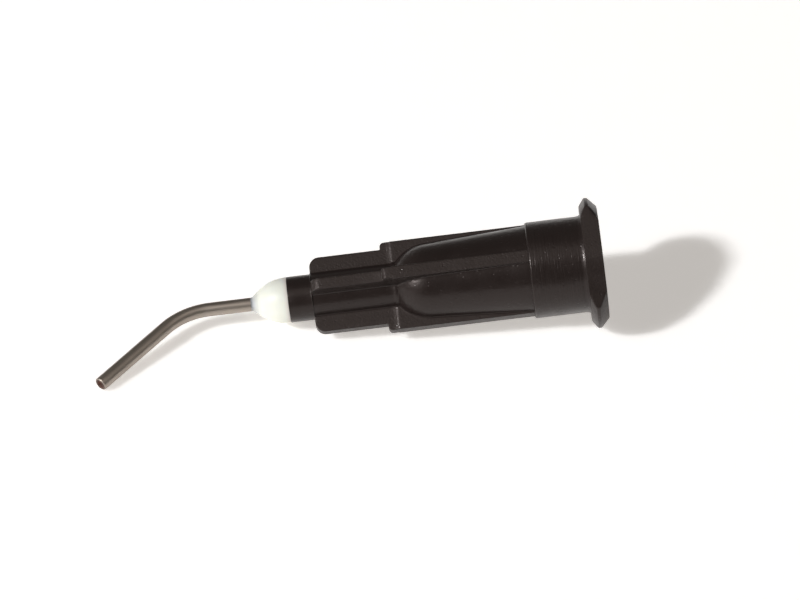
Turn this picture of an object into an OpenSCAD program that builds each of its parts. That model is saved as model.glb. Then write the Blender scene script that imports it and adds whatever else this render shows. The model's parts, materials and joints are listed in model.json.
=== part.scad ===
// Luer-lock dispensing needle tip: a moulded hub, a bent steel cannula and the adhesive that bonds them.
// The hub is drawn standing on its mouth with the cannula pointing up, and is then laid down as it rests.
// Lengths are in millimetres and angles in degrees. Heights are measured from the mouth of the hub, and
// turns about the hub's axis are measured from one of its wings.

/* [Socket] */
// Diameter of the socket at its mouth
socket_d = 4.3; // [4.2:0.01:4.4]
// Length of the straight entry at the mouth
entry_l = 0.5; // [0.3:0.05:1]
// Depth of the socket, from the mouth to the end of its taper
socket_l = 8.5; // [7.5:0.1:9.2]
// Diameter that the taper loses over each millimetre of depth
socket_taper = 0.06; // [0.055:0.001:0.065]
// Length of the funnel between the socket and the throat
funnel_l = 3.4; // [2.8:0.1:3.8]
// Length of the throat, up to the shoulder that stops the cannula
throat_l = 0.6; // [0.3:0.05:1]

/* [Flange and lugs] */
// Diameter over the crests of the two lugs
lug_d = 7.8; // [7.6:0.01:8]
// Diameter of the flange between the lugs
flange_d = 5.96; // [5.9:0.01:6.3]
// Thickness of the flange
flange_t = 1.05; // [0.9:0.05:1.3]
// Height of the middle of the lugs' crest
crest_z = 0.62; // [0.5:0.01:0.7]
// Width of the lugs' crest
crest_w = 0.2; // [0.1:0.01:0.3]
// Diameter of the lugs at the foot of the sloping flanks on each side of their crest
flank_d = 6.9; // [6.6:0.05:7.2]
// Angle by which each side of a lug leans in towards its crest
lug_draft = 12; // [8:1:16]
// Turn of the lugs from the wing
lug_turn = -10; // [-15:1:5]
// Bevel around the mouth
mouth_bevel = 0.1; // [0.05:0.01:0.2]
// Radius of the fillet between the flange and the barrel
flange_fillet = 0.12; // [0.05:0.01:0.2]

/* [Hub body] */
// Diameter of the barrel next to the flange
barrel_d = 5.74; // [5.7:0.01:5.85]
// Length of the barrel
barrel_l = 3.34; // [2.8:0.05:3.8]
// Radius of the barrel's front edge
barrel_round = 0.08; // [0.04:0.01:0.1]
// Diameter of the body just past the barrel
body_d = 5.36; // [5.2:0.01:5.4]
// Diameter of the body where its round front begins
body_front_d = 4.66; // [4.5:0.01:4.8]
// Height at which the round front begins
dome_z = 10.3; // [10.1:0.05:10.5]
// Length of the round front, if it ran on to a tip
dome_l = 2.52; // [2.3:0.02:2.7]
// Height of the step that crosses the wings and the nose
step_z = 12.55; // [12.5:0.01:12.8]
// Size of that step
step_h = 0.05; // [0.03:0.01:0.08]
// Diameter of the nose
nose_d = 2.74; // [2.6:0.01:2.9]
// Length of the nose beyond the wings
nose_l = 1.44; // [1:0.02:2]

/* [Wings] */
// Number of wings
wing_n = 4; // [4:1:4]
// Thickness of a wing in front of the step
wing_t = 0.66; // [0.5:0.01:0.8]
// Diameter over the rear wings
rear_wing_d = 5.54; // [5.45:0.01:5.65]
// Height at which the wings drop from the rear diameter to the front one
drop_z = 13.1; // [12.9:0.05:13.4]
// Diameter over the front wings
front_wing_d = 4.68; // [4.4:0.01:4.9]
// Height of the front end of the wings
wing_end_z = 17.4; // [16.8:0.05:18]
// Radius of the corner where the rear wings end
rear_corner = 0.25; // [0.1:0.01:0.35]
// Radius of the corner where the front wings end
front_corner = 0.6; // [0.4:0.05:0.8]

/* [Cannula] */
// Outside diameter of the tube
cannula_d = 0.82; // [0.7:0.01:0.92]
// Bore of the tube
cannula_bore = 0.51; // [0.4:0.01:0.6]
// Length from the front of the nose to the corner of the bend
reach_l = 6.3; // [5.5:0.1:8]
// Length from the corner of the bend to the open end
leg_l = 7.35; // [6:0.05:9]
// Angle of the bend
bend = 45; // [35:1:55]
// Radius of the bend, along the middle of the tube
bend_r = 3.8; // [2.5:0.1:4.5]
// How much the tube narrows in the bend
bend_neck = 0.01; // [0.006:0.002:0.02]
// Turn of the bent leg from the wing
bend_turn = 27; // [20:1:40]
// Gap around the tube in the hub's guide hole
guide_gap = 0.01; // [0.005:0.005:0.03]

/* [Adhesive] */
// Diameter of the glue well in the nose
well_d = 1.7; // [1.4:0.05:1.9]
// Depth of the glue well
well_l = 3.9; // [3:0.1:4.5]
// Length of the bead beyond the nose
bead_l = 2.25; // [1.8:0.05:2.6]
// How long the bead keeps the width of the nose
bead_fullness = 2.3; // [1.8:0.1:3]
// How gently the bead runs out onto the tube
bead_meniscus = 1.35; // [1.1:0.05:1.8]

/* [Hidden] */
$fn = 64;
corner_steps = 6;
dome_steps = 12;
bead_steps = 16;
cut = 0.1;  // how far a cut runs past the face that it opens
bend_lap = 1;  // how many degrees the bend runs on inside each straight stretch

lug_r = lug_d / 2;
flange_r = flange_d / 2;
barrel_end_z = flange_t + barrel_l;
rear_wing_t = wing_t + 2 * step_h;
nose_end_z = wing_end_z + nose_l;
socket_end_d = socket_d - socket_taper * (socket_l - entry_l);
throat_z = socket_l + funnel_l;
stop_z = throat_z + throat_l;
well_z = nose_end_z - well_l;
corner_z = nose_end_z + reach_l;
bend_tangent = bend_r * tan(bend / 2);

// Points along an arc about c, from angle a0 to a1.
function arc(c, r, a0, a1, steps) = [for (i = [0:steps])
    let (a = a0 + (a1 - a0) * i / steps) c + r * [cos(a), sin(a)]];

function unit(v) = v / norm(v);

// Points along the body's round front, which is a quarter of an ellipse, as far as the radius end_r.
function dome(end_r) = [for (i = [0:dome_steps])
    let (r = body_front_d / 2, a = acos(end_r / r) * i / dome_steps) [r * cos(a), dome_z + dome_l * sin(a)]];

/* Hub */

// Turned outline of the hub as [radius, height], without the wings and lugs.
module hub_outline() {
    ring_r = nose_d / 2 + step_h;
    barrel_r = barrel_d / 2;
    polygon(concat(
        [[0, 0], [flange_r - mouth_bevel, 0], [flange_r, mouth_bevel], [flange_r, flange_t]],
        arc([barrel_r + flange_fillet, flange_t + flange_fillet], flange_fillet, 270, 180, corner_steps),
        arc([barrel_r - barrel_round, barrel_end_z - barrel_round], barrel_round, 0, 90, corner_steps),
        [[body_d / 2, barrel_end_z]],
        dome(ring_r),
        [[ring_r, step_z], [nose_d / 2, step_z], [nose_d / 2, nose_end_z], [0, nose_end_z]]));
}

// The two lugs: a disc with a ridge around its rim, cut down by sloping planes that touch the flange.
module lugs() {
    side = flange_r * [sin(lug_draft), cos(lug_draft)];
    tip_y = (flange_r - lug_d * sin(lug_draft)) / cos(lug_draft);
    intersection() {
        rotate_extrude()
            polygon([[0, 0], [flank_d / 2 - mouth_bevel, 0], [flank_d / 2, mouth_bevel],
                [lug_r, crest_z - crest_w / 2], [lug_r, crest_z + crest_w / 2],
                [flank_d / 2, flange_t], [0, flange_t]]);
        for (turn = [0, 180])
            rotate([0, 0, lug_turn + turn])
                linear_extrude(flange_t)
                    polygon([[0, 0], side, [lug_d, tip_y], [lug_d, -tip_y], [side.x, -side.y]]);
    }
}

// One wing: thicker behind the step, and lower in front of the drop.
module wing() {
    rear_r = rear_wing_d / 2;
    front_r = front_wing_d / 2;
    rotate([90, 0, 0]) {
        linear_extrude(rear_wing_t, center = true)
            polygon([[0, flange_t], [rear_r, flange_t], [rear_r, step_z], [0, step_z]]);
        linear_extrude(wing_t, center = true)
            polygon(concat([[0, flange_t], [rear_r, flange_t]],
                arc([rear_r - rear_corner, drop_z - rear_corner], rear_corner, 0, 90, corner_steps),
                [[front_r, drop_z]],
                arc([front_r - front_corner, wing_end_z - front_corner], front_corner, 0, 90, corner_steps),
                [[0, wing_end_z]]));
    }
}

// Everything hollow in the hub: entry, taper, funnel, throat, guide hole and glue well.
module flow_path() {
    translate([0, 0, -cut])
        cylinder(d = socket_d, h = entry_l + cut);
    translate([0, 0, entry_l])
        cylinder(d1 = socket_d, d2 = socket_end_d, h = socket_l - entry_l);
    translate([0, 0, socket_l])
        cylinder(d1 = socket_end_d, d2 = cannula_bore, h = funnel_l);
    translate([0, 0, throat_z])
        cylinder(d = cannula_bore, h = throat_l);
    translate([0, 0, stop_z])
        cylinder(d = cannula_d + 2 * guide_gap, h = well_z - stop_z);
    translate([0, 0, well_z])
        cylinder(d = well_d, h = well_l + cut);
}

module hub() {
    color([0.07, 0.065, 0.06])
        at_rest()
            difference() {
                union() {
                    rotate_extrude()
                        hub_outline();
                    lugs();
                    for (i = [0:wing_n - 1])
                        rotate([0, 0, 360 / wing_n * i])
                            wing();
                }
                flow_path();
            }
}

/* Cannula */

// A rod that follows the tube's route, with both ends run on by the length given. The bend is a little
// narrower than the straight stretches, because drawn tube necks where it is bent, and laps into both.
module tube_route(d, run_on) {
    bend_z = corner_z - bend_tangent;
    translate([0, 0, stop_z - run_on])
        cylinder(d = d, h = bend_z - stop_z + run_on);
    translate([bend_r, 0, bend_z])
        rotate([-90, 0, 0])
            rotate([0, 0, 180 - bend_lap])
                rotate_extrude(angle = bend + 2 * bend_lap)
                    translate([bend_r, 0])
                        circle(d = d - bend_neck);
    translate([0, 0, corner_z])
        rotate([0, bend, 0])
            translate([0, 0, bend_tangent])
                cylinder(d = d, h = leg_l - bend_tangent + run_on);
}

// The tube from its seat in the hub, round the bend and out to its open end.
module cannula() {
    color([0.62, 0.6, 0.57])
        at_rest()
            rotate([0, 0, bend_turn])
                difference() {
                    tube_route(cannula_d, 0);
                    tube_route(cannula_bore, cut);
                }
}

/* Adhesive bead */

// Radius of the bead, where x runs from 0 at the nose to 1 at the end of the bead.
function bead_radius(x) = cannula_d / 2
    + (nose_d - cannula_d) / 2 * pow(1 - pow(x, bead_fullness), bead_meniscus);

// The fill of the glue well and the dome that stands in front of the nose.
module adhesive_bead() {
    color([0.95, 0.94, 0.88])
        at_rest()
            rotate_extrude()
                polygon(concat(
                    [[cannula_d / 2, well_z], [well_d / 2, well_z], [well_d / 2, nose_end_z]],
                    [for (i = [0:bead_steps]) [bead_radius(i / bead_steps), nose_end_z + bead_l * i / bead_steps]]));
}

/* Pose at rest */

// The tip lies on three feet: the end of a lug's crest, the front corner of the wing next to it, and
// the rim of the tube's open end. Each is the furthest point of its shape in the direction down.
lug_half = 90 - lug_draft - acos(flange_r / lug_r);
lug_foot = [lug_r * cos(lug_turn - lug_half), lug_r * sin(lug_turn - lug_half), crest_z + crest_w / 2];
leg_axis = [sin(bend) * cos(bend_turn), sin(bend) * sin(bend_turn), cos(bend)];
open_end = [0, 0, corner_z] + leg_l * leg_axis;

function wing_foot(down) = [wing_t / 2, front_corner - front_wing_d / 2, wing_end_z - front_corner]
    + front_corner * unit([0, down.y, down.z]);

function tube_foot(down) = open_end + cannula_d / 2 * unit(down - (down * leg_axis) * leg_axis);

// The direction square to the plane through the three feet, found again from each better guess.
function settle(down, rounds) = rounds == 0 ? down :
    let (square = cross(wing_foot(down) - lug_foot, tube_foot(down) - lug_foot))
    settle(unit(square) * sign(square * down), rounds - 1);

down = settle([cos(lug_turn - lug_half), sin(lug_turn - lug_half), 0], 6);
roll = atan2(down.y, down.x);
pitch = asin(down.z);

// The origin is on the ground, below the middle of the whole tip.
mouth_way = unit([0, 0, -1] + down.z * down);
far_way = cross(mouth_way, down);
mouth_reach = (flank_d / 2 - mouth_bevel) * norm([mouth_way.x, mouth_way.y]);
middle_x = (mouth_reach + tube_foot(-mouth_way) * mouth_way) / 2;
middle_y = (lug_r + tube_foot(-far_way) * far_way) / 2;

module at_rest() {
    translate([-middle_x, -middle_y, lug_foot * down])
        rotate([0, -90 - pitch, 0])
            rotate([0, 0, 180 - roll])
                children();
}

hub();
cannula();
adhesive_bead();
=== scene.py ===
"""A Luer-lock dispensing tip: a black moulded hub, a bent steel tube and the adhesive that bonds them."""

import json
import math

import bmesh
import bpy
import numpy as np
from mathutils import Matrix, Vector


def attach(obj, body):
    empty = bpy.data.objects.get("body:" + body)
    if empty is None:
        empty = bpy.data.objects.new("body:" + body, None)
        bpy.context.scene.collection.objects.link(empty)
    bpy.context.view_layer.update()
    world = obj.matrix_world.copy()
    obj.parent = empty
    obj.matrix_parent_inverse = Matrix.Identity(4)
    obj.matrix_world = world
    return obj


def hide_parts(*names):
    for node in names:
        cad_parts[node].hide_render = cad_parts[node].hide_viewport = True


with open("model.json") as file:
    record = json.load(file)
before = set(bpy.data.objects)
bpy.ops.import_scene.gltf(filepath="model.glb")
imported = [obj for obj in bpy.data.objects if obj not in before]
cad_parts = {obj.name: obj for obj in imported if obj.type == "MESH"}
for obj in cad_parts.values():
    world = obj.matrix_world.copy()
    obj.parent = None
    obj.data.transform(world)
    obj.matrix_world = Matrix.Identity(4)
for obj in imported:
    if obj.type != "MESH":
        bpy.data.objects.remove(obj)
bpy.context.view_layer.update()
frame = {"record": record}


# Hub. Glossy black polypropylene, moulded in one shot: flange with two locking lugs, barrel, round-nosed
# body and four thin wings. The wings and flange keep the grain of the spark-eroded mould, and the barrel
# its fine turning marks. Sizes are in millimetres, with heights from the mouth, and angles in degrees.

MM = 0.001
MICRON = 0.000001

# Flange and lugs. A lug is a ridged disc between two drafted sides, which touch the flange. The flats are
# how far an outline runs in along a flat face.
FLANGE_R = 2.98
FLANGE_T = 1.05
FLANGE_ROUND = 0.03
MOUTH_BEVEL = 0.1
FACE_FLAT = 0.06
RIM_BACK_FLAT = 0.04
LUG_R = 3.9
LUG_CREST = (0.52, 0.72)
LUG_FOOT_R = 3.45
LUG_DRAFT = 12
LUG_TURN = -10
LUG_ROUND = 0.05
LUG_CORNER_REACH = 0.9
LUG_CORNER_SHARE = 0.25
LUG_CORNER_POINTS = 4
LUG_SOFTNESS = 0.0125

# Barrel, with a shallow flare onto the flange. The rings only divide its plain stretch.
BARREL_R = 2.87
BARREL_END = 4.39
BARREL_ROUND = 0.12
BARREL_RINGS = (2.25, 3.49)
FLARE_H = 0.08
FLARE_L = 0.3
FLARE_STEPS = 8

# Body, which narrows from BODY_R to DOME_R and ends in a quarter of an ellipse, and nose.
BODY_R = 2.68
BODY_STEPS = 10
DOME_R = 2.33
DOME_Z = 10.3
DOME_L = 2.52
NOSE_R = 1.37
NOSE_END = 18.84
NOSE_FILLET = 0.06
NOSE_ROUND = 0.04
NOSE_RING = 18.34

# Wings, high at the rear and lower from DROP_Z. Where one is low, its rounds are shares of its height.
# The tube's bend points BEND_TURN past a wing.
WING_PITCH = 90
WING_HALF_T = 0.33
WING_END = 17.4
REAR_WING_R = 2.77
REAR_CORNER = 0.25
FRONT_WING_R = 2.34
FRONT_CORNER = 0.6
DROP_Z = 13.1
DROP_FILLET = 0.05
EDGE_ROUND = 0.06
EDGE_SHARE = 0.3
ROOT_FILLET = 0.12
ROOT_SHARE = 0.5
BEND_TURN = 27

# Behind STEP_Z the wings' sides and the round of the nose are raised by STEP_H. Each point of the ramp
# is the share of its length still to go, and the share of its height still left.
STEP_Z = 12.55
STEP_H = 0.05
STEP_L = 0.12
STEP_RAMP = ((1, 1), (0.828, 0.92), (0.09, 0.1), (0, 0))

# Flow path: tapered socket, funnel, throat, guide hole for the tube and glue well. The taper is on the
# radius, for each millimetre.
SOCKET_R = 2.15
SOCKET_ENTRY = 0.5
SOCKET_END = 8.5
SOCKET_TAPER = 0.03
THROAT_R = 0.255
THROAT_Z = 11.9
SHOULDER_Z = 12.5
GUIDE_R = 0.42
WELL_R = 0.85
WELL_FLOOR = 14.94
HOLE_BEVEL = 0.03

# Points along half a wing's section, and the section whose points the round ones line up with.
TIP_POINTS = 3
EDGE_POINTS = 5
SIDE_POINTS = 4
ROOT_POINTS = 6
BODY_POINTS = 14
FLAT_POINTS = TIP_POINTS + EDGE_POINTS + SIDE_POINTS
HALF_WING = FLAT_POINTS + ROOT_POINTS + BODY_POINTS
PATTERN_SECTION = 8

# Finish. The marks are finer along the axis than round it, and faint off the barrel.
PLASTIC_TONES = ((0.011, 0.0072, 0.0064), (0.0165, 0.0115, 0.0102))
GRAINED_PLASTIC = (0.0185, 0.0133, 0.0118)
FLANGE_GRAIN = 0.7
GRAIN_STRENGTH = 0.8
GRAIN_DULLNESS = 0.08
MARK_FINENESS = (1, 1, 8)
FAINT_MARKS = 0.15
PATCH_RANGE = (0.3, 0.7)


def swing(centre, radius, start, end, steps):
    """Points on an arc, from the start angle to the end angle in degrees, both included."""
    angles = [math.radians(start + (end - start) * i / steps) for i in range(steps + 1)]
    return [(centre[0] + radius * math.cos(a), centre[1] + radius * math.sin(a)) for a in angles]


def half_wing(body_r, wing_r, half_t):
    """Section from the middle of a wing's rim, down its side and along the body, halfway to the next."""
    foot = math.sqrt(body_r ** 2 - half_t ** 2)
    height = wing_r - foot
    edge = min(EDGE_ROUND, EDGE_SHARE * height)
    fillet = min(ROOT_FILLET, ROOT_SHARE * height)
    points = [(wing_r, (half_t - edge) * i / TIP_POINTS) for i in range(TIP_POINTS)]
    points += swing((wing_r - edge, half_t - edge), edge, 0, 90, EDGE_POINTS)
    centre = (math.sqrt((body_r + fillet) ** 2 - (half_t + fillet) ** 2), half_t + fillet)
    drop = (wing_r - edge - centre[0]) / SIDE_POINTS
    points += [(wing_r - edge - drop * i, half_t) for i in range(1, SIDE_POINTS)]
    lean = math.degrees(math.atan2(centre[1], centre[0]))
    points += swing(centre, fillet, -90, lean - 180, ROOT_POINTS)
    body = swing((0, 0), body_r, lean, WING_PITCH / 2, BODY_POINTS)
    return points + body[1:]


def mirrored_quarter(half):
    """A quarter turn about a wing's middle from half of it, leaving out the last point."""
    before = [(x, -y) for x, y in reversed(half[1:])]
    return before + half[:-1]


def half_turn(quarter):
    """Half a turn from a quarter turn and its copy, with the end point that closes it."""
    turned = [(-y, x) for x, y in quarter]
    first = quarter[0]
    return quarter + turned + [(-first[0], -first[1])]


def winged(height, body_r, wing_r, half_t):
    """Half a turn of the hub's section where it has wings."""
    outline = half_turn(mirrored_quarter(half_wing(body_r, wing_r, half_t)))
    return [(x, y, height) for x, y in outline]


def ring_like(points, radius, height):
    """A round section whose points stand in the directions of the given points."""
    return [(x * radius / math.hypot(x, y), y * radius / math.hypot(x, y), height) for x, y, _ in points]


def rounded(corners, reach, steps=4):
    """A path of (radius, height) corners with each inner corner rounded off over the given reach."""
    corners = [Vector(c) for c in corners]
    path = [corners[0]]
    for before, corner, after in zip(corners, corners[1:], corners[2:]):
        start = corner + (before - corner).normalized() * reach
        end = corner + (after - corner).normalized() * reach
        for i in range(steps + 1):
            t = i / steps
            path.append(start.lerp(corner, t).lerp(corner.lerp(end, t), t))
    return path + [corners[-1]]


def lug_section(lug_r, flange_r, height):
    """Half a turn of the flange with its lug, begun where the hub's other sections begin."""
    side_end = 90 - LUG_DRAFT
    corner = side_end - math.degrees(math.acos(min(1, FLANGE_R / lug_r)))
    reach = min(LUG_CORNER_REACH, LUG_CORNER_SHARE * (side_end - corner))
    count = 2 * HALF_WING // 3
    angles = [*np.linspace(0, corner - reach, count, endpoint=False),
              *np.linspace(corner - reach, corner + reach, LUG_CORNER_POINTS, endpoint=False),
              *np.linspace(corner + reach, side_end, count, endpoint=False)]
    angles += list(np.linspace(side_end, 90, 2 * HALF_WING + 1 - len(angles)))
    quarter = []
    for angle in angles:
        side_r = FLANGE_R / math.cos(math.radians(side_end - angle)) if angle < side_end else FLANGE_R
        # The smaller of the two radii, with the corner between them softened.
        softened = (lug_r + side_r - math.hypot(lug_r - side_r, LUG_SOFTNESS)) / 2
        quarter.append((angle, max(flange_r, softened)))
    half = [(-angle, radius) for angle, radius in quarter[:0:-1]] + quarter[:-1]
    whole = half + [(angle + 180, radius) for angle, radius in half]
    turned = [(math.radians(angle + LUG_TURN), radius) for angle, radius in whole]
    start = -math.radians(WING_PITCH / 2)
    first = min(range(len(turned)), key=lambda i: abs(turned[i][0] - start))
    strip = turned[first:first + 4 * HALF_WING + 1]
    return [(radius * math.cos(angle), radius * math.sin(angle), height) for angle, radius in strip]


def flange_sections():
    """Sections of the flange and lugs, from the mouth to the barrel."""
    lug_face_r = LUG_FOOT_R - MOUTH_BEVEL
    lug = rounded([(lug_face_r - FACE_FLAT, 0), (lug_face_r, 0), (LUG_FOOT_R, MOUTH_BEVEL),
                   (LUG_R, LUG_CREST[0]), (LUG_R, LUG_CREST[1]),
                   (LUG_FOOT_R, FLANGE_T), (LUG_FOOT_R - FACE_FLAT, FLANGE_T)], LUG_ROUND)
    rim_face_r = FLANGE_R - MOUTH_BEVEL
    rim = rounded([(rim_face_r - FACE_FLAT, 0), (rim_face_r, 0), (FLANGE_R, MOUTH_BEVEL),
                   (FLANGE_R, FLANGE_T), (FLANGE_R - RIM_BACK_FLAT, FLANGE_T)], FLANGE_ROUND)
    # The rim is read by height, so its flat faces get heights that rise by a hair from point to point.
    hair = 0.000001
    rim_z = [point.y + hair * i for i, point in enumerate(rim)]
    rim_r = [point.x for point in rim]
    sections = []
    for radius, height in lug:
        flange_r = float(np.interp(height + 10 * hair, rim_z, rim_r))
        sections.append(lug_section(max(radius, flange_r), flange_r, height))
    return sections


def barrel_sections(pattern):
    """Sections of the barrel, from its shallow flare at the flange to its rounded front edge."""
    path = []
    for i in range(FLARE_STEPS + 1):
        along = i / FLARE_STEPS
        path.append((BARREL_R + FLARE_H * (1 - along) ** 2, FLANGE_T + FLARE_L * along))
    path += [(BARREL_R, height) for height in BARREL_RINGS]
    path += swing((BARREL_R - BARREL_ROUND, BARREL_END - BARREL_ROUND), BARREL_ROUND, 0, 90, steps=5)
    return [ring_like(pattern, radius, height) for radius, height in path]


def body_sections():
    """Sections of the body and its wings, from the barrel to the front of the wings."""
    path = []
    for i in range(BODY_STEPS):
        along = i / BODY_STEPS
        path.append((BODY_R + (DOME_R - BODY_R) * along, BARREL_END + (DOME_Z - BARREL_END) * along))
    dome_end = math.degrees(math.acos((NOSE_R + STEP_H) / DOME_R))
    path += [(DOME_R * x, DOME_Z + DOME_L * y) for x, y in swing((0, 0), 1, 0, dome_end, steps=18)]
    sections = [winged(z, r, REAR_WING_R, WING_HALF_T + STEP_H) for r, z in path]
    for to_go, left in STEP_RAMP:
        raised = STEP_H * left
        sections.append(winged(STEP_Z - STEP_L * to_go, NOSE_R + raised, REAR_WING_R, WING_HALF_T + raised))
    rims = swing((REAR_WING_R - REAR_CORNER, DROP_Z - REAR_CORNER), REAR_CORNER, 0, 90, steps=8)
    rims += swing((FRONT_WING_R + DROP_FILLET, DROP_Z + DROP_FILLET), DROP_FILLET, 270, 180, steps=4)
    rims += [(FRONT_WING_R, (DROP_Z + WING_END) / 2)]
    rims += swing((FRONT_WING_R - FRONT_CORNER, WING_END - FRONT_CORNER), FRONT_CORNER, 0, 90, steps=16)
    for wing_r, height in rims:
        into_edge = max(0, height - (WING_END - EDGE_ROUND))
        thinner = EDGE_ROUND - math.sqrt(max(0, EDGE_ROUND ** 2 - into_edge ** 2))
        sections.append(winged(height, NOSE_R, wing_r, WING_HALF_T - thinner))
    return sections


def nose_sections(pattern):
    """Sections of the nose, from the fillet in front of the wings to its rounded end."""
    path = swing((NOSE_R + NOSE_FILLET, WING_END + NOSE_FILLET), NOSE_FILLET, 270, 180, steps=5)
    path += [(NOSE_R, NOSE_RING)]
    path += swing((NOSE_R - NOSE_ROUND, NOSE_END - NOSE_ROUND), NOSE_ROUND, 0, 90, steps=4)
    return [ring_like(pattern, radius, height) for radius, height in path]


def flow_path():
    """The (radius, height) corners of the hub's inside, from the mouth to the end of the nose."""
    socket_end_r = SOCKET_R - SOCKET_TAPER * (SOCKET_END - SOCKET_ENTRY)
    socket = [(SOCKET_R + HOLE_BEVEL, 0), (SOCKET_R, HOLE_BEVEL), (SOCKET_R, SOCKET_ENTRY)]
    funnel = [(socket_end_r, SOCKET_END), (THROAT_R, THROAT_Z), (THROAT_R, SHOULDER_Z)]
    guide = [(GUIDE_R, SHOULDER_Z), (GUIDE_R, WELL_FLOOR)]
    well = [(WELL_R, WELL_FLOOR), (WELL_R, NOSE_END - HOLE_BEVEL), (WELL_R + HOLE_BEVEL, NOSE_END)]
    return socket + funnel + guide + well


def hub_sections():
    """All sections of half the hub in one closed loop, up its outside and back down its flow path.

    With them come the count of flange sections, the place of the first with wings, and how many have them.
    """
    flange = flange_sections()
    body = body_sections()
    pattern = body[PATTERN_SECTION]
    barrel = barrel_sections(pattern)
    outside = flange + barrel + body + nose_sections(pattern)
    inside = [ring_like(flange[0], radius, height) for radius, height in reversed(flow_path())]
    return outside + inside, len(flange), len(flange) + len(barrel), len(body)


def skin_of_sections(name, sections):
    """A mesh of quads over sections with equal numbers of points, joined in a closed loop."""
    width = len(sections[0])
    faces = []
    for i in range(len(sections)):
        here = i * width
        ahead = (i + 1) % len(sections) * width
        faces += [(here + k, here + k + 1, ahead + k + 1, ahead + k) for k in range(width - 1)]
    mesh = bpy.data.meshes.new(name)
    mesh.from_pydata([p for section in sections for p in section], [], faces)
    return mesh


def turned_copies():
    """Geometry nodes that repeat a sector round the Z axis and join the copies into one skin."""
    tree = bpy.data.node_groups.new("turned_copies", "GeometryNodeTree")
    tree.interface.new_socket("Sector", in_out="INPUT", socket_type="NodeSocketGeometry")
    tree.interface.new_socket("Copies", in_out="INPUT", socket_type="NodeSocketInt")
    tree.interface.new_socket("Joining distance", in_out="INPUT", socket_type="NodeSocketFloat")
    tree.interface.new_socket("Material", in_out="INPUT", socket_type="NodeSocketMaterial")
    tree.interface.new_socket("Moulding", in_out="OUTPUT", socket_type="NodeSocketGeometry")
    given = tree.nodes.new("NodeGroupInput")
    places = tree.nodes.new("GeometryNodeMeshLine")
    index = tree.nodes.new("GeometryNodeInputIndex")
    share = tree.nodes.new("ShaderNodeMath")
    turn = tree.nodes.new("ShaderNodeMath")
    rotation = tree.nodes.new("FunctionNodeAxisAngleToRotation")
    copies = tree.nodes.new("GeometryNodeInstanceOnPoints")
    real = tree.nodes.new("GeometryNodeRealizeInstances")
    joined = tree.nodes.new("GeometryNodeMergeByDistance")
    smooth = tree.nodes.new("GeometryNodeSetShadeSmooth")
    painted = tree.nodes.new("GeometryNodeSetMaterial")
    result = tree.nodes.new("NodeGroupOutput")
    places.inputs["Offset"].default_value = (0, 0, 0)
    share.operation = "DIVIDE"
    turn.operation = "MULTIPLY"
    turn.inputs[1].default_value = 2 * math.pi
    rotation.inputs["Axis"].default_value = (0, 0, 1)
    link = tree.links.new
    link(given.outputs["Copies"], places.inputs["Count"])
    link(index.outputs["Index"], share.inputs[0])
    link(given.outputs["Copies"], share.inputs[1])
    link(share.outputs[0], turn.inputs[0])
    link(turn.outputs[0], rotation.inputs["Angle"])
    link(places.outputs["Mesh"], copies.inputs["Points"])
    link(given.outputs["Sector"], copies.inputs["Instance"])
    link(rotation.outputs["Rotation"], copies.inputs["Rotation"])
    link(copies.outputs["Instances"], real.inputs["Geometry"])
    link(real.outputs["Geometry"], joined.inputs["Geometry"])
    link(given.outputs["Joining distance"], joined.inputs["Distance"])
    link(joined.outputs["Geometry"], smooth.inputs["Geometry"])
    link(smooth.outputs["Geometry"], painted.inputs["Geometry"])
    link(given.outputs["Material"], painted.inputs["Material"])
    link(painted.outputs["Geometry"], result.inputs[0])
    return tree


def grown(name, mesh, tree, **inputs):
    """Gives the mesh a nodes modifier with the named inputs, and returns the result as a plain object."""
    piece = bpy.data.objects.new(name, mesh)
    bpy.context.scene.collection.objects.link(piece)
    growth = piece.modifiers.new("growth", "NODES")
    growth.node_group = tree
    for item in tree.interface.items_tree:
        key = item.name.replace(" ", "_").lower()
        if key in inputs:
            growth[item.identifier] = inputs[key]
    result = bpy.data.meshes.new_from_object(piece.evaluated_get(bpy.context.evaluated_depsgraph_get()))
    piece.modifiers.clear()
    piece.data = result
    return piece


def faced_outwards(piece, crisp):
    """Turns every face outwards, and keeps edges sharper than the crisp angle sharp."""
    shell = bmesh.new()
    shell.from_mesh(piece.data)
    bmesh.ops.recalc_face_normals(shell, faces=shell.faces)
    shell.to_mesh(piece.data)
    shell.free()
    piece.data.set_sharp_from_angle(angle=math.radians(crisp))
    weighted = piece.modifiers.new("weighted", "WEIGHTED_NORMAL")
    weighted.keep_sharp = True


def hub_place():
    """From the hub's own millimetres, standing on its mouth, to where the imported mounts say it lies."""
    mounts = {mount["name"]: mount for mount in frame["record"]["mounts"]}
    socket = mounts["luer_socket"]
    needle_way = -Vector(socket["axis"]).normalized()
    mouth = Vector(socket["pos_m"]) - needle_way * socket["dims"]["length_mm"] / 2 * MM
    leg_way = Vector(mounts["cannula_outlet"]["axis"])
    leg_side = (leg_way - needle_way * leg_way.dot(needle_way)).normalized()
    wing_way = Matrix.Rotation(math.radians(-BEND_TURN), 3, needle_way) @ leg_side
    turn = Matrix((wing_way, needle_way.cross(wing_way), needle_way)).transposed()
    return Matrix.Translation(mouth) @ turn.to_4x4() @ Matrix.Scale(MM, 4)


def new_finish(name):
    """A new material, with its node tree and its shader."""
    material = bpy.data.materials.new(name)
    material.use_nodes = True
    return material, material.node_tree, material.node_tree.nodes["Principled BSDF"]


def own_place(tree):
    """Each point's place, measured from the object's origin in metres."""
    return tree.nodes.new("ShaderNodeTexCoord").outputs["Object"]


def stored(tree, name, kind="Fac"):
    """A value that the mesh stores at each of its points."""
    node = tree.nodes.new("ShaderNodeAttribute")
    node.attribute_name = name
    return node.outputs[kind]


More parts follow.
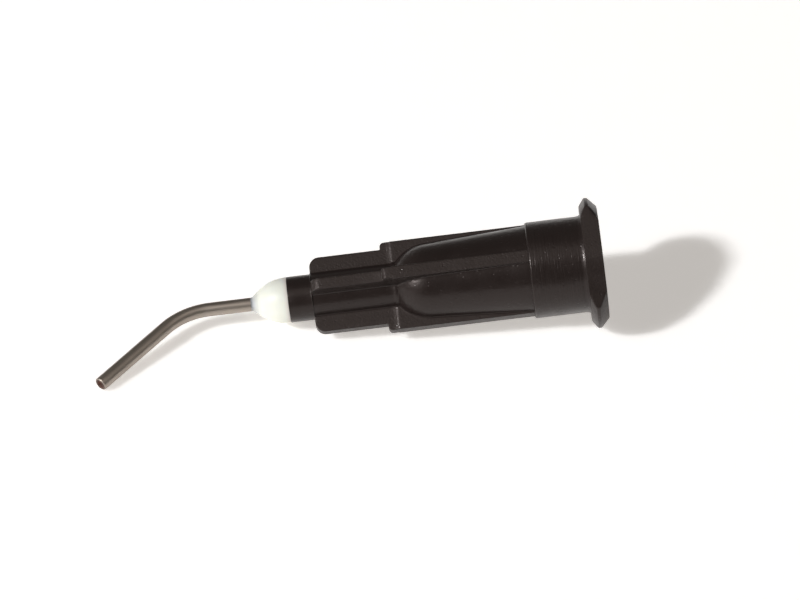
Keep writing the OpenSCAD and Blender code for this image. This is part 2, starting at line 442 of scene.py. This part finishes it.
def patches(tree, place, scale, detail, rough=0.5):
    """Soft random patches, as many to each unit of the place as the scale says."""
    node = tree.nodes.new("ShaderNodeTexNoise")
    node.inputs["Scale"].default_value = scale
    node.inputs["Detail"].default_value = detail
    node.inputs["Roughness"].default_value = rough
    tree.links.new(place, node.inputs["Vector"])
    return node.outputs["Fac"]


def spread(tree, value, onto, over=PATCH_RANGE):
    """Maps a value from one range onto another."""
    node = tree.nodes.new("ShaderNodeMapRange")
    node.inputs["From Min"].default_value = over[0]
    node.inputs["From Max"].default_value = over[1]
    node.inputs["To Min"].default_value = onto[0]
    node.inputs["To Max"].default_value = onto[1]
    tree.links.new(value, node.inputs["Value"])
    return node.outputs["Result"]


def scaled(tree, kind, value, factor, plus=None):
    """A value times a factor, plus another value where one is given. The kind is Math or VectorMath."""
    node = tree.nodes.new("ShaderNode" + kind)
    node.operation = "MULTIPLY"
    node.inputs[1].default_value = factor
    tree.links.new(value, node.inputs[0])
    if plus is not None:
        node.operation = "MULTIPLY_ADD"
        tree.links.new(plus, node.inputs[2])
    return node.outputs[0]


def relief(tree, height, microns, strength, below=None):
    """A bump of the given depth, stacked on the one below. The strength is a number or a stored value."""
    node = tree.nodes.new("ShaderNodeBump")
    node.inputs["Distance"].default_value = microns * MICRON
    if isinstance(strength, float):
        node.inputs["Strength"].default_value = strength
    else:
        tree.links.new(strength, node.inputs["Strength"])
    tree.links.new(height, node.inputs["Height"])
    if below is not None:
        tree.links.new(below, node.inputs["Normal"])
    return node.outputs["Normal"]


def two_toned(tree, where, tones):
    """The first tone where the value is 0, the second where it is 1, and a mix between."""
    node = tree.nodes.new("ShaderNodeMix")
    node.data_type = "RGBA"
    node.inputs["A"].default_value = (*tones[0], 1)
    node.inputs["B"].default_value = (*tones[1], 1)
    tree.links.new(where, node.inputs["Factor"])
    return node.outputs["Result"]


def painted_over(tree, tone, where, colour):
    """A colour laid over a tone, as strongly as the value says."""
    node = tree.nodes.new("ShaderNodeMix")
    node.data_type = "RGBA"
    node.inputs["B"].default_value = (*colour, 1)
    tree.links.new(where, node.inputs["Factor"])
    tree.links.new(tone, node.inputs["A"])
    return node.outputs["Result"]


def hub_plastic():
    """Near-black plastic: rippled, finely pitted, scored round the barrel, and grained on the wings."""
    material, tree, shader = new_finish("hub_plastic")
    place = own_place(tree)
    grained = stored(tree, "grained")
    tone = two_toned(tree, patches(tree, place, scale=260, detail=3), PLASTIC_TONES)
    tree.links.new(painted_over(tree, tone, grained, GRAINED_PLASTIC), shader.inputs["Base Color"])
    waves = patches(tree, place, scale=420, detail=2)
    wavy = relief(tree, waves, microns=20, strength=0.35)
    round_it = scaled(tree, "VectorMath", stored(tree, "turned", "Vector"), MARK_FINENESS)
    marks = patches(tree, round_it, scale=1, detail=2, rough=0.6)
    marked = relief(tree, marks, microns=28, strength=stored(tree, "scored"), below=wavy)
    ripples = patches(tree, place, scale=4200, detail=3, rough=0.6)
    rippled = relief(tree, ripples, microns=20, strength=0.6, below=marked)
    cells = tree.nodes.new("ShaderNodeTexVoronoi")
    cells.inputs["Scale"].default_value = 3000
    tree.links.new(place, cells.inputs["Vector"])
    pits = spread(tree, cells.outputs["Distance"], onto=(0, 1), over=(0.02, 0.2))
    pitted = relief(tree, pits, microns=20, strength=0.7, below=rippled)
    grain = patches(tree, place, scale=9000, detail=2, rough=0.6)
    grain_strength = scaled(tree, "Math", grained, GRAIN_STRENGTH)
    surface = relief(tree, grain, microns=30, strength=grain_strength, below=pitted)
    tree.links.new(surface, shader.inputs["Normal"])
    tree.links.new(surface, shader.inputs["Coat Normal"])
    worn = spread(tree, patches(tree, place, scale=900, detail=4), onto=(0.29, 0.4))
    tree.links.new(scaled(tree, "Math", grained, GRAIN_DULLNESS, plus=worn), shader.inputs["Roughness"])
    shader.inputs["IOR"].default_value = 1.49
    shader.inputs["Specular IOR Level"].default_value = 0.32
    shader.inputs["Specular Tint"].default_value = (1, 0.88, 0.85, 1)
    shader.inputs["Coat Weight"].default_value = 0.12
    shader.inputs["Coat Roughness"].default_value = 0.12
    return material


def mark_grain(mesh, sections, flange_count, first_winged, winged_count):
    """Stores how grained each point is: wholly on a wing's rim and sides, partly on the flange."""
    amounts = np.zeros((len(sections), len(sections[0])))
    amounts[:flange_count] = FLANGE_GRAIN
    for k in range(len(sections[0])):
        from_middle = abs((k % (2 * HALF_WING)) - HALF_WING)
        if from_middle <= FLAT_POINTS:
            amounts[first_winged:first_winged + winged_count, k] = 1
    mesh.attributes.new("grained", "FLOAT", "POINT").data.foreach_set("value", amounts.ravel())


def mark_turning(mesh, sections, flange_count, first_winged):
    """Stores places that run round the axis, alike in both halves, and how deep the marks are at each."""
    places = []
    for section in sections:
        for x, y, height in section:
            twice = 2 * math.atan2(y, x)
            places += [math.cos(twice), math.sin(twice), height]
    mesh.attributes.new("turned", "FLOAT_VECTOR", "POINT").data.foreach_set("vector", places)
    depths = np.full((len(sections), len(sections[0])), FAINT_MARKS)
    depths[flange_count:first_winged] = 1
    mesh.attributes.new("scored", "FLOAT", "POINT").data.foreach_set("value", depths.ravel())


sections, flange_count, first_winged, winged_count = hub_sections()
hub_half = skin_of_sections("hub_half", sections)
mark_grain(hub_half, sections, flange_count, first_winged, winged_count)
mark_turning(hub_half, sections, flange_count, first_winged)
hub = grown("moulded_hub", hub_half, turned_copies(), copies=2, joining_distance=0.0004,
            material=hub_plastic())
hub.data.transform(hub_place())
faced_outwards(hub, crisp=40)
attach(hub, "root")
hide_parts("hub")


# Cannula. Drawn stainless tube, cut square, bent once with a smooth radius and deburred at its rims.
# It stands on the shoulder inside the hub, and its open end looks down at the table.

TUBE_R = 0.41
TUBE_CORNER = 25.14
TUBE_LEG = 7.35
TUBE_BEND = 45
TUBE_BEND_R = 3.8
TUBE_NECKING = 0.012
TUBE_SIDES = 64
RIM_ROUND = 0.08
RIM_STEPS = 5
STRAIGHT_STEPS = 12
BEND_STEPS = 40
LEG_STEPS = 10

STREAK_CHANGE = (0, 0, 0.12)
STEEL_TONES = ((0.3, 0.26, 0.224), (0.4, 0.352, 0.31))
BORE_COLOUR = (0.74, 0.57, 0.51)
CUT_COLOUR = (0.12, 0.08, 0.07)


def tube_path():
    """Points along the tube's middle in the hub's millimetres, with the share of full width at each."""
    up = Vector((0, 0, 1))
    lean = math.radians(TUBE_BEND)
    sideways = Vector((math.cos(math.radians(BEND_TURN)), math.sin(math.radians(BEND_TURN)), 0))
    leg = up * math.cos(lean) + sideways * math.sin(lean)
    seat = up * SHOULDER_Z
    corner = up * TUBE_CORNER
    setback = TUBE_BEND_R * math.tan(lean / 2)
    bend_start = corner - up * setback
    leg_start = corner + leg * setback
    open_end = corner + leg * TUBE_LEG
    # The cut face is a hair deep, so that no two points of the path are in one place.
    hair = 0.0005
    rim = []
    for i in range(RIM_STEPS + 1):
        angle = math.pi / 2 * i / RIM_STEPS
        back = hair + RIM_ROUND * (1 - math.sin(angle))
        rim.append((back, 1 - RIM_ROUND * (1 - math.cos(angle)) / TUBE_R))
    bore = THROAT_R / TUBE_R
    points = [(seat, bore)]
    points += [(seat + up * back, width) for back, width in reversed(rim)]
    points += [(seat.lerp(bend_start, i / STRAIGHT_STEPS), 1) for i in range(1, STRAIGHT_STEPS)]
    for i in range(BEND_STEPS + 1):
        turn = lean * i / BEND_STEPS
        from_centre = (up * math.sin(turn) - sideways * math.cos(turn)) * TUBE_BEND_R
        width = 1 - TUBE_NECKING * math.sin(math.pi * i / BEND_STEPS)
        points.append((bend_start + sideways * TUBE_BEND_R + from_centre, width))
    points += [(leg_start.lerp(open_end, i / LEG_STEPS), 1) for i in range(1, LEG_STEPS)]
    points += [(open_end - leg * back, width) for back, width in rim]
    points.append((open_end, bore))
    return points


def drawn_tube():
    """Geometry nodes that draw a tube and its bore along a path, and store each point's place on them."""
    tree = bpy.data.node_groups.new("drawn_tube", "GeometryNodeTree")
    tree.interface.new_socket("Path", in_out="INPUT", socket_type="NodeSocketGeometry")
    tree.interface.new_socket("Outside radius", in_out="INPUT", socket_type="NodeSocketFloat")
    tree.interface.new_socket("Bore radius", in_out="INPUT", socket_type="NodeSocketFloat")
    tree.interface.new_socket("Sides", in_out="INPUT", socket_type="NodeSocketInt")
    tree.interface.new_socket("Joining distance", in_out="INPUT", socket_type="NodeSocketFloat")
    tree.interface.new_socket("Material", in_out="INPUT", socket_type="NodeSocketMaterial")
    tree.interface.new_socket("Tube", in_out="OUTPUT", socket_type="NodeSocketGeometry")
    given = tree.nodes.new("NodeGroupInput")
    curve = tree.nodes.new("GeometryNodeMeshToCurve")
    along = tree.nodes.new("GeometryNodeSplineParameter")
    along_kept = tree.nodes.new("GeometryNodeStoreNamedAttribute")
    width = tree.nodes.new("GeometryNodeInputNamedAttribute")
    both = tree.nodes.new("GeometryNodeJoinGeometry")
    joined = tree.nodes.new("GeometryNodeMergeByDistance")
    smooth = tree.nodes.new("GeometryNodeSetShadeSmooth")
    painted = tree.nodes.new("GeometryNodeSetMaterial")
    result = tree.nodes.new("NodeGroupOutput")
    along_kept.inputs["Name"].default_value = "along"
    width.inputs["Name"].default_value = "width"
    link = tree.links.new
    link(given.outputs["Path"], curve.inputs["Mesh"])
    link(curve.outputs["Curve"], along_kept.inputs["Geometry"])
    link(along.outputs["Length"], along_kept.inputs["Value"])
    for radius in ("Outside radius", "Bore radius"):
        circle = tree.nodes.new("GeometryNodeCurvePrimitiveCircle")
        place = tree.nodes.new("GeometryNodeInputPosition")
        way = tree.nodes.new("ShaderNodeVectorMath")
        way_kept = tree.nodes.new("GeometryNodeStoreNamedAttribute")
        wall = tree.nodes.new("GeometryNodeCurveToMesh")
        way.operation = "NORMALIZE"
        way_kept.data_type = "FLOAT_VECTOR"
        way_kept.inputs["Name"].default_value = "way_round"
        link(given.outputs["Sides"], circle.inputs["Resolution"])
        link(given.outputs[radius], circle.inputs["Radius"])
        link(place.outputs["Position"], way.inputs[0])
        link(circle.outputs["Curve"], way_kept.inputs["Geometry"])
        link(way.outputs["Vector"], way_kept.inputs["Value"])
        link(along_kept.outputs["Geometry"], wall.inputs["Curve"])
        link(way_kept.outputs["Geometry"], wall.inputs["Profile Curve"])
        if radius == "Outside radius":
            link(width.outputs["Attribute"], wall.inputs["Scale"])
            link(wall.outputs["Mesh"], both.inputs["Geometry"])
        else:
            inwards = tree.nodes.new("GeometryNodeFlipFaces")
            bored = tree.nodes.new("GeometryNodeStoreNamedAttribute")
            bored.inputs["Name"].default_value = "bored"
            bored.inputs["Value"].default_value = 1
            link(wall.outputs["Mesh"], inwards.inputs["Mesh"])
            link(inwards.outputs["Mesh"], bored.inputs["Geometry"])
            link(bored.outputs["Geometry"], both.inputs["Geometry"])
    link(both.outputs["Geometry"], joined.inputs["Geometry"])
    link(given.outputs["Joining distance"], joined.inputs["Distance"])
    link(joined.outputs["Geometry"], smooth.inputs["Geometry"])
    link(smooth.outputs["Geometry"], painted.inputs["Geometry"])
    link(given.outputs["Material"], painted.inputs["Material"])
    link(painted.outputs["Geometry"], result.inputs[0])
    return tree


def tube_steel():
    """Satin drawn steel: brown-grey, streaked along the tube, warmer in the bore, dark where it was cut."""
    material, tree, shader = new_finish("tube_steel")
    along = stored(tree, "along", "Vector")
    way_round = stored(tree, "way_round", "Vector")
    drawn_out = scaled(tree, "VectorMath", along, STREAK_CHANGE, plus=way_round)
    streaks = patches(tree, drawn_out, scale=8, detail=4, rough=0.6)
    tone = two_toned(tree, patches(tree, own_place(tree), scale=1100, detail=3), STEEL_TONES)
    tone = painted_over(tree, tone, stored(tree, "bored"), BORE_COLOUR)
    tone = painted_over(tree, tone, stored(tree, "cut"), CUT_COLOUR)
    tree.links.new(tone, shader.inputs["Base Color"])
    tree.links.new(spread(tree, streaks, onto=(0.36, 0.48)), shader.inputs["Roughness"])
    tree.links.new(relief(tree, streaks, microns=10, strength=0.5), shader.inputs["Normal"])
    shader.inputs["Metallic"].default_value = 1
    return material


path = tube_path()
spine = bpy.data.meshes.new("tube_spine")
spine.from_pydata([point for point, _ in path], [(i, i + 1) for i in range(len(path) - 1)], [])
spine.attributes.new("width", "FLOAT", "POINT").data.foreach_set("value", [width for _, width in path])
cut = [float(width <= 1 - RIM_ROUND / TUBE_R) for _, width in path]
spine.attributes.new("cut", "FLOAT", "POINT").data.foreach_set("value", cut)
tube = grown("steel_tube", spine, drawn_tube(), outside_radius=TUBE_R, bore_radius=THROAT_R,
             sides=TUBE_SIDES, joining_distance=0.0001, material=tube_steel())
tube.data.transform(hub_place())
faced_outwards(tube, crisp=50)
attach(tube, "root")
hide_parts("cannula")


# Adhesive. A milky bead, cured by light, that fills the well in the nose, stands as a smooth dome in
# front of it, and runs out onto the tube in a small fillet. Hand dosed, so its surface is a little uneven.

BEAD_L = 2.17
BEAD_FULLNESS = 2.4
BEAD_TAPER = 1.15
BEAD_FILLET = 0.08
BEAD_INSET = 0.01
BEAD_FILM = 0.004
BEAD_CURVE_SHARE = 0.96
BEAD_STEPS = 40
BEAD_SIDES = 96

MILKY_TONES = ((0.85, 0.86, 0.77), (0.89, 0.9, 0.825))
THIN_COLOUR = (0.54, 0.55, 0.54)
EDGE_COLOUR = (0.74, 0.64, 0.58)


def bead_sections():
    """Sections of the fill in the well and of the dome in front of it, in one closed loop."""
    path = [(TUBE_R, WELL_FLOOR), (WELL_R, WELL_FLOOR), (WELL_R, NOSE_END)]
    film_r = TUBE_R + BEAD_FILM
    foot_r = NOSE_R - BEAD_INSET
    for i in range(BEAD_STEPS + 1):
        along = BEAD_CURVE_SHARE * math.sin(math.pi / 2 * i / BEAD_STEPS)
        swell = (1 - along ** BEAD_FULLNESS) ** BEAD_TAPER
        path.append((film_r + (foot_r - film_r) * swell, NOSE_END + BEAD_L * along))
    tip = (film_r, NOSE_END + BEAD_L)
    run_out = (film_r, NOSE_END + BEAD_L + 2 * BEAD_FILLET)
    path += rounded([path[-1], tip, run_out], BEAD_FILLET, steps=8)[1:-1]
    path.append((TUBE_R, path[-1].y))
    turns = [2 * math.pi * k / BEAD_SIDES for k in range(BEAD_SIDES + 1)]
    directions = [(math.cos(turn), math.sin(turn)) for turn in turns]
    return [[(radius * x, radius * y, height) for x, y in directions] for radius, height in path]


def adhesive():
    """Milky cured adhesive: cream where thick, greyer where it thins onto the tube, pinkish at the nose."""
    material, tree, shader = new_finish("adhesive")
    place = own_place(tree)
    along = stored(tree, "along")
    thin = spread(tree, along, onto=(0, 1), over=(0.74, 1))
    edge = spread(tree, along, onto=(0.7, 0), over=(0, 0.12))
    tone = two_toned(tree, patches(tree, place, scale=900, detail=3), MILKY_TONES)
    tone = painted_over(tree, tone, thin, THIN_COLOUR)
    tone = painted_over(tree, tone, edge, EDGE_COLOUR)
    tree.links.new(tone, shader.inputs["Base Color"])
    tree.links.new(spread(tree, thin, onto=(0.42, 0.1), over=(0, 0.8)), shader.inputs["Roughness"])
    flow = patches(tree, place, scale=700, detail=2)
    tree.links.new(relief(tree, flow, microns=40, strength=0.4), shader.inputs["Normal"])
    shader.inputs["Specular IOR Level"].default_value = 0.35
    shader.inputs["Subsurface Weight"].default_value = 0.6
    shader.inputs["Subsurface Radius"].default_value = (1.0, 0.95, 0.8)
    shader.inputs["Subsurface Scale"].default_value = 0.0004
    return material


layers = bead_sections()
bead_mesh = skin_of_sections("bead", layers)
along = [min(1, max(0, (z - NOSE_END) / BEAD_L)) for layer in layers for _, _, z in layer]
bead_mesh.attributes.new("along", "FLOAT", "POINT").data.foreach_set("value", along)
bead = grown("adhesive_dome", bead_mesh, turned_copies(), copies=1, joining_distance=0.0004,
             material=adhesive())
bead.data.transform(hub_place())
faced_outwards(bead, crisp=50)
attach(bead, "root")
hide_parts("adhesive_bead")


# Studio. A milky white table that glows faintly from below, one round lamp at the upper left, and a large
# dim panel overhead. The panel and the room show only in glossy faces, and the lamp casts the shadows.
# Places and sizes are in metres.

TABLE_HALF = 1.2
TABLE_TONES = ((0.88, 0.88, 0.88), (0.9, 0.9, 0.9))
TABLE_GLOW = (0.52, 0.495, 0.468)
LAMP_PLACE = Vector((-0.855, -0.425, 0.73))
LAMP_SIZE = 0.1
LAMP_POWER = 14.5
PANEL_PLACE = Vector((0.55, -0.36, 1.1))
PANEL_SIZE = (2.2, 0.73)
PANEL_POWER = 3
ROOM_TINT = (1, 0.94, 0.88)
ROOM_LIGHT = 0.145


def table_top():
    """Milky white sheet, which glows evenly and lets light spread below its surface."""
    material, tree, shader = new_finish("table_top")
    tone = two_toned(tree, patches(tree, own_place(tree), scale=30, detail=3), TABLE_TONES)
    tree.links.new(tone, shader.inputs["Base Color"])
    shader.inputs["Roughness"].default_value = 0.8
    shader.inputs["Specular IOR Level"].default_value = 0.1
    shader.inputs["Emission Color"].default_value = (*TABLE_GLOW, 1)
    shader.inputs["Emission Strength"].default_value = 1
    shader.subsurface_method = "BURLEY"
    shader.inputs["Subsurface Weight"].default_value = 1
    shader.inputs["Subsurface Radius"].default_value = (1, 1, 1)
    shader.inputs["Subsurface Scale"].default_value = 0.0014
    return material


def white_table():
    """A square sheet that the tip lies on."""
    corners = [(-TABLE_HALF, -TABLE_HALF, 0), (TABLE_HALF, -TABLE_HALF, 0),
               (TABLE_HALF, TABLE_HALF, 0), (-TABLE_HALF, TABLE_HALF, 0)]
    mesh = bpy.data.meshes.new("table")
    mesh.from_pydata(corners, [], [(0, 1, 2, 3)])
    mesh.materials.append(table_top())
    table = bpy.data.objects.new("table", mesh)
    bpy.context.scene.collection.objects.link(table)


def hung(name, data, place, turn):
    """A light hung in the scene at a place, with a turn."""
    light = bpy.data.objects.new(name, data)
    light.location = place
    light.rotation_euler = turn
    bpy.context.scene.collection.objects.link(light)
    return light


def key_lamp():
    """A round lamp that looks at the middle of the table."""
    data = bpy.data.lights.new("key_lamp", "AREA")
    data.shape = "DISK"
    data.size = LAMP_SIZE
    data.energy = LAMP_POWER
    hung("key_lamp", data, LAMP_PLACE, (-LAMP_PLACE).to_track_quat("-Z", "Y").to_euler())


def overhead_panel():
    """A wide panel that hangs level and faces down."""
    data = bpy.data.lights.new("overhead_panel", "AREA")
    data.shape = "RECTANGLE"
    data.size, data.size_y = PANEL_SIZE
    data.energy = PANEL_POWER
    data.color = ROOM_TINT
    panel = hung("overhead_panel", data, PANEL_PLACE, (0, 0, 0))
    panel.visible_diffuse = False


def room_light():
    """Even light from all round, and plain colours."""
    world = bpy.data.worlds.new("room")
    world.use_nodes = True
    backdrop = world.node_tree.nodes["Background"]
    backdrop.inputs["Color"].default_value = (*ROOM_TINT, 1)
    backdrop.inputs["Strength"].default_value = ROOM_LIGHT
    world.cycles_visibility.diffuse = False
    bpy.context.scene.world = world
    bpy.context.scene.view_settings.view_transform = "Standard"


white_table()
key_lamp()
overhead_panel()
room_light()


# Camera. A long lens, a little to one side and well above the table. It aims beside a point that is
# AIM_HEIGHT above the middle of the table, by AIM_RIGHT and AIM_UP as the camera sees them. These three
# are in millimetres, and its distance and clips in metres.

CAMERA_AZIMUTH = math.radians(3.79)
CAMERA_ELEVATION = math.radians(39.95)
CAMERA_DISTANCE = 0.35689
LENS = 270.05
SENSOR = 36
CLIPS = (0.01, 10)
AIM_HEIGHT = 2
AIM_RIGHT = 2.893
AIM_UP = 0.308

looks = Vector((math.sin(CAMERA_AZIMUTH) * math.cos(CAMERA_ELEVATION),
                math.cos(CAMERA_AZIMUTH) * math.cos(CAMERA_ELEVATION), -math.sin(CAMERA_ELEVATION)))
right = looks.cross(Vector((0, 0, 1))).normalized()
up = right.cross(looks)
aim = (Vector((0, 0, AIM_HEIGHT)) + right * AIM_RIGHT + up * AIM_UP) * MM
camera_data = bpy.data.cameras.new("camera")
camera_data.sensor_width = SENSOR
camera_data.lens = LENS
camera_data.clip_start, camera_data.clip_end = CLIPS
camera = bpy.data.objects.new("camera", camera_data)
camera.location = aim - looks * CAMERA_DISTANCE
camera.rotation_euler = looks.to_track_quat("-Z", "Y").to_euler()
bpy.context.scene.collection.objects.link(camera)
bpy.context.scene.camera = camera
